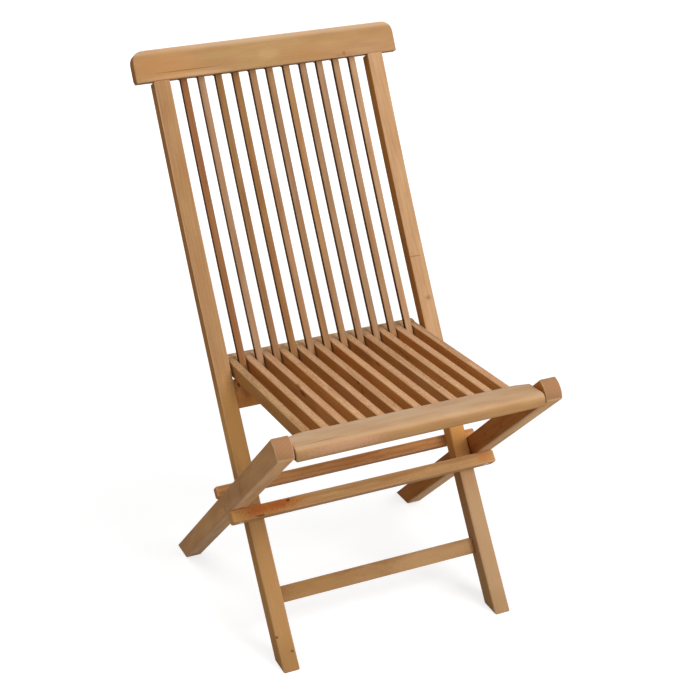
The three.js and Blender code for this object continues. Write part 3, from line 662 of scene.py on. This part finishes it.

# In each board, the side paint is painted shade and the top paint is painted light
BOARDS = {
    "post_left": Board(
        srgb(177, 138, 92), srgb(180, 138, 98), srgb(194, 135, 73), grain=0.15, streaks=0.6, marks=(
            # Painted light on the warm part above the leg, in the seat's shade; then the lower part, the
            # dark foot, and two knots beside it
            Mark((-0.1850, -0.0038, 0.3296), (0.030, 0.080, 0.130), 0.9, srgb(222, 165, 100), 0.4),
            Mark((-0.1875, -0.1500, 0.1100), (0.030, 0.160, 0.260), 0.6, srgb(192, 144, 88)),
            Mark((-0.1875, -0.1950, 0.0000), (0.030, 0.060, 0.060), 0.6, srgb(166, 122, 74)),
            Mark((-0.1984, -0.1760, 0.0477), (0.003, 0.004, 0.0025), 0.8),
            Mark((-0.1793, -0.1904, 0.0256), (0.0035, 0.004, 0.0025), 0.7),
        ),
    ),
    "post_right": Board(
        srgb(205, 164, 123), srgb(196, 155, 115), srgb(190, 128, 62), grain=0.15, streaks=0.6, marks=(
            # Lower part, painted light on the warm part in the seat's shade, the dark foot, a line, and a
            # knot in its cloud
            Mark((0.1875, -0.1500, 0.1000), (0.030, 0.160, 0.240), 0.75, srgb(190, 153, 113)),
            Mark((0.1875, -0.0350, 0.2750), (0.030, 0.080, 0.110), 0.85, srgb(230, 164, 88)),
            Mark((0.1875, -0.1950, 0.0000), (0.030, 0.050, 0.050), 0.5, srgb(174, 136, 94)),
            Mark((0.1828, 0.1048, 0.5247), (0.016, 0.010, 0.0013), 0.65, DUSK, 0.5),
            Mark((0.1900, 0.0690, 0.4610), (0.008, 0.010, 0.007), 0.45, BROWN, 1.5),
            Mark((0.1900, 0.0690, 0.4610), (0.003, 0.006, 0.0025), 0.6, DUSK, 1.0),
        ),
    ),
    "crest_rail": Board(
        srgb(188, 147, 106), srgb(182, 144, 98), end=srgb(168, 112, 62), grain=0.05, streaks=0.25, marks=(
            # Painted highlight along the upper edge, then the left end's pale strip, cloud, blush and
            # line
            Mark((0.0000, 0.2850, 0.8830), (4.000, 0.030, 0.0100), 0.6, srgb(214, 180, 148)),
            Mark((-0.1450, 0.2640, 0.8380), (0.095, 0.012, 0.0085), 0.65, srgb(210, 168, 126), 0.4),
            Mark((-0.1750, 0.2750, 0.8550), (0.075, 0.030, 0.040), 0.5, srgb(190, 134, 80), 0.8),
            Mark((-0.2050, 0.2834, 0.8796), (0.030, 0.020, 0.0035), 0.5, PINK, 0.8),
            Mark((-0.1400, 0.2680, 0.8474), (0.085, 0.006, 0.0012), 0.65, DUSK, 0.4),
            # Clouds along the middle
            Mark((0.0000, 0.2730, 0.8560), (0.028, 0.020, 0.012), 0.4, srgb(204, 166, 118), 1.0),
            Mark((0.0900, 0.2750, 0.8560), (0.040, 0.020, 0.012), 0.15, srgb(204, 160, 124), 1.2),
            Mark((0.0700, 0.2700, 0.8480), (0.070, 0.020, 0.016), 0.35, srgb(180, 130, 84), 1.2),
            Mark((-0.0700, 0.2700, 0.8500), (0.050, 0.020, 0.009), 0.35, srgb(178, 134, 96), 1.2),
            # Small knot at the lower edge, in its cloud
            Mark((0.1324, 0.2657, 0.8420), (0.004, 0.008, 0.0050), 0.6, DUSK, 0.8),
            Mark((0.1324, 0.2657, 0.8400), (0.030, 0.008, 0.0030), 0.35, BROWN, 0.8),
        ),
    ),
    "lower_back_rail": Board(
        srgb(216, 150, 82), srgb(196, 140, 84), end=RED, grain=0.1, streaks=0.5, marks=(
            # A knot and the red cloud about it
            Mark((-0.1632, 0.0397, 0.3867), (0.003, 0.006, 0.006), 0.85, KNOT, 0.8),
            Mark((-0.1540, 0.0340, 0.3780), (0.016, 0.020, 0.014), 0.5, RED, 1.2),
        ),
    ),
    "front_stretcher": Board(
        srgb(178, 138, 96), srgb(172, 132, 84), grain=0.3, upright=UP_POST, marks=(
            # A golden left half and a pale right half
            Mark((-0.1200, -0.1250, 0.0870), (0.070, 0.030, 0.030), 0.5, srgb(178, 136, 86), 0.6),
            Mark((0.0900, -0.1250, 0.0870), (0.100, 0.030, 0.030), 0.6, srgb(192, 152, 108), 0.6),
        ),
    ),
    "rear_leg_left": Board(
        LEG_FACE, GREY, SHADED_LEG_OUTER, LIT_LEG_UNDER_LEFT, end=TIP, grain=0.08, streaks=0.4,
        facing=UNDER_LEG, marks=(
            # Two dark lines on the outer side, and two paler parts
            Mark((-0.2300, -0.1340, 0.3000), (0.004, 0.0030, 0.022), 0.6, BROWN, 0.6),
            Mark((-0.2300, -0.1430, 0.2960), (0.004, 0.0020, 0.018), 0.45, DUSK, 0.6),
            Mark((-0.2300, -0.1100, 0.2720), (0.004, 0.040, 0.030), 0.3, srgb(206, 158, 122), 0.6),
            Mark((-0.2300, 0.0700, 0.1350), (0.004, 0.090, 0.060), 0.3, srgb(210, 166, 112), 0.6),
        ),
    ),
    "rear_leg_right": Board(
        LEG_FACE, GREY, LEG_SHADE, LIT_LEG_UNDER_RIGHT, end=TIP, grain=0.2, streaks=0.7,
        facing=UNDER_LEG, marks=(
            # Two small knots and a red part on the inner side
            Mark((0.2020, -0.1118, 0.2841), (0.004, 0.0025, 0.0050), 0.7, KNOT, 0.8),
            Mark((0.2020, -0.1651, 0.3227), (0.004, 0.0020, 0.0070), 0.6, KNOT, 0.8),
            Mark((0.2020, -0.0850, 0.2500), (0.004, 0.020, 0.020), 0.5, RED, 0.8),
        ),
    ),
    "front_cross_bar": Board(
        srgb(212, 167, 114), srgb(208, 158, 108), end=srgb(190, 140, 96), grain=0.3,
        upright=UP_LEG, marks=(
            # Orange part of the left end, its pale tip, and the redder clouds in it
            Mark((-0.1780, -0.0850, 0.2300), (0.070, 0.040, 0.020), 0.75, srgb(184, 118, 60), 1.0),
            Mark((-0.2240, -0.0850, 0.2240), (0.026, 0.040, 0.030), 0.6, srgb(204, 150, 84), 0.6),
            Mark((-0.1280, -0.0930, 0.2320), (0.045, 0.030, 0.012), 0.5, srgb(190, 130, 72), 1.0),
            Mark((-0.1640, -0.0930, 0.2325), (0.060, 0.030, 0.009), 0.6, srgb(178, 96, 42), 1.8),
            Mark((-0.1900, -0.0930, 0.2310), (0.022, 0.020, 0.008), 0.6, srgb(176, 96, 46), 1.4),
            Mark((-0.1520, -0.0930, 0.2325), (0.022, 0.020, 0.007), 0.6, srgb(172, 92, 46), 1.6),
            # Two knots at the left end, and the orange right end
            Mark((-0.1370, -0.0885, 0.2345), (0.005, 0.006, 0.0022), 0.9, KNOT, 0.8),
            Mark((-0.1860, -0.0975, 0.2235), (0.009, 0.010, 0.0016), 0.8, KNOT, 1.0),
            Mark((0.2120, -0.0938, 0.2300), (0.018, 0.020, 0.008), 0.6, srgb(200, 124, 62), 1.2),
        ),
    ),
    "rear_cross_bar": Board(
        srgb(212, 150, 94), srgb(214, 160, 106), end=srgb(200, 120, 84), grain=0.35, upright=UP_LEG,
    ),
    # The front rail's paler top is painted light
    "seat_front_rail": Board(
        TAN, HONEY, top=LIT_RAIL_TOP, end=BROWN, grain=0.08, streaks=0.3, upright=UP_SEAT, scuff_and_sheen=0.3, marks=(
            # Pink part of the nose, a dark line on the top, and a pale scrape
            Mark((-0.1250, -0.3020, 0.4290), (0.085, 0.014, 0.009), 0.7, srgb(206, 158, 126), 1.0),
            Mark((-0.1600, -0.2925, 0.4380), (0.050, 0.0020, 0.004), 0.5, DUSK, 0.6),
            Mark((-0.1280, -0.3050, 0.4260), (0.010, 0.006, 0.0020), 0.5, PALE, 1.6),
        ),
    ),
    # Painted light: this rail lies in the back slats' shade, so its tones are paler, its top palest
    "seat_rear_rail": Board(
        srgb(214, 172, 126), PALE, top=srgb(232, 194, 150), end=BROWN, upright=UP_SEAT,
    ),
    "pivot_plug_left": Board(LEG_FACE, GREY, SHADED_LEG_OUTER, end=TIP, grain=0.1),
    "pivot_plug_right": Board(LEG_FACE, GREY, LEG_SHADE, end=TIP, grain=0.3),
}
# Back slats, their side faces darkened as painted shade
for i, (tone, drift) in enumerate(BACK_TONES, 1):
    BOARDS["back_slat_%02d" % i] = Board(tone, drift, BACK_SLAT_SIDE_SHADE, grain=0.2, scuff_and_sheen=0.2)
for i, (side, top) in enumerate(zip(SHADED_SLAT_SIDES, LIT_SLAT_TOPS), 1):
    marks = SEAT_MARKS.get(i, ())
    BOARDS["seat_slat_%02d" % i] = Board(TAN, GOLD, side, top, grain=0.3, specks=1.0, marks=marks)

# The way the grain runs in the boards that don't lie across the chair, by the start of their names
DIRECTIONS = {
    "post": UP_POST,
    "rear_leg": UP_LEG,
    "pivot_plug": UP_LEG,
    "back_slat": UP_SLAT,
    "seat_slat": BACK_SEAT,
}


def along_of(node):
    """The way that a board's grain runs: across the chair, unless DIRECTIONS says otherwise."""
    for start, direction in DIRECTIONS.items():
        if node.startswith(start):
            return direction
    return ACROSS


record = frame["record"]
bodies = {}
for body, members in record["behaviour"]["bodies"].items():
    bodies.update(dict.fromkeys(members, body))
slots = {subpart["node"]: subpart["material_slot"] for subpart in record["subparts"]}
hardware = steel("steel")
for node, thing in frame["nodes"].items():
    if slots[node] == "steel":
        thing.data.materials.clear()
        thing.data.materials.append(hardware)
    else:
        material = teak(node + "_teak", along_of(node), BOARDS[node])
        dress(node, bodies[node], material)


def seen_by_eye(n):
    """One where the background itself is seen, also in a mirror or through glass."""
    path = n.add("ShaderNodeLightPath").outputs
    through = n.math("ADD", path["Is Glossy Ray"], path["Is Transmission Ray"])
    return n.math("ADD", path["Is Camera Ray"], through, clamp=True)


# Floor, which keeps a soft shadow near the chair and is plain white further out
FLOOR_HALF = 30.0
FLOOR_SHADE = (0.45, 0.45, 0.45, 1.0)
FLOOR_GLOW = (0.8, 2.4, 0.72, 1.0)
CORNERS = ((-1, -1), (1, -1), (1, 1), (-1, 1))


def pale_floor():
    made = bpy.data.materials.new("floor")
    n = emptied(made)
    away = n.vector("LENGTH", n.add("ShaderNodeTexCoord").outputs["Object"])
    matt = n.add("ShaderNodeBsdfDiffuse")
    n.put(matt.inputs["Color"], FLOOR_SHADE)
    glow = n.add("ShaderNodeEmission")
    n.put(glow.inputs["Color"], WHITE)
    level = n.spread(away, *FLOOR_GLOW, smooth=True)
    n.put(glow.inputs["Strength"], n.math("MULTIPLY", seen_by_eye(n), level))
    both = n.add("ShaderNodeAddShader")
    n.put(both.inputs[0], matt.outputs[0])
    n.put(both.inputs[1], glow.outputs[0])
    n.show(both)
    return made


floor_mesh = bpy.data.meshes.new("floor")
places = [(FLOOR_HALF * x, FLOOR_HALF * y, 0.0) for x, y in CORNERS]
floor_mesh.from_pydata(places, [], [(0, 1, 2, 3)])
floor_mesh.materials.append(pale_floor())
floor = add_object("floor", floor_mesh)

# World: soft light all round, and plain white where it is seen
WORLD_LIGHT = 0.32
WORLD_SEEN = 1.0
world = bpy.data.worlds.new("studio")
bpy.context.scene.world = world
n = emptied(world)
sky = n.add("ShaderNodeBackground")
n.put(sky.inputs["Color"], WHITE)
n.put(sky.inputs["Strength"], n.spread(seen_by_eye(n), 0.0, 1.0, WORLD_LIGHT, WORLD_SEEN))
n.show(sky, "ShaderNodeOutputWorld")


def lamp(name, place, aim, size, power):
    """A square area light at a place, turned towards its aim, in metres and watts."""
    light = bpy.data.lights.new(name, "AREA")
    light.shape = "SQUARE"
    light.size = size
    light.energy = power
    thing = add_object(name, light)
    thing.location = place
    thing.rotation_mode = "QUATERNION"
    thing.rotation_quaternion = (Vector(aim) - Vector(place)).to_track_quat("-Z", "Y")


lamp("key", (1.5, -2.9, 2.7), (0.0, 0.0, 0.45), 2.0, 108.0)
lamp("top", (-0.8, -0.2, 3.4), (0.0, 0.0, 0.3), 2.2, 38.0)

# Camera, fitted to the photo
SENSOR_WIDTH = 36.0
IMAGE_WIDTH = 696.0
FOCAL_PIXELS = 1584.07
CLIP_END = 100.0
CHAIR_SHIFT = 0.20713
CAMERA_PLACE = (-0.89467, -1.93874 - CHAIR_SHIFT, 1.46603)
CAMERA_RIGHT = Vector((0.91610741, -0.40000199, -0.02730588))
CAMERA_DOWN = Vector((-0.18530372, -0.3620294, -0.91356294))
CAMERA_FORWARD = Vector((0.35554147, 0.84198166, -0.40577967))
camera_data = bpy.data.cameras.new("camera")
camera_data.sensor_width = SENSOR_WIDTH
camera_data.lens = FOCAL_PIXELS * SENSOR_WIDTH / IMAGE_WIDTH
camera_data.clip_end = CLIP_END
camera = add_object("camera", camera_data)
turn = Matrix((CAMERA_RIGHT, -CAMERA_DOWN, -CAMERA_FORWARD)).transposed().to_4x4()
camera.matrix_world = Matrix.Translation(CAMERA_PLACE) @ turn
bpy.context.scene.camera = camera

bpy.context.scene.view_settings.view_transform = "Standard"
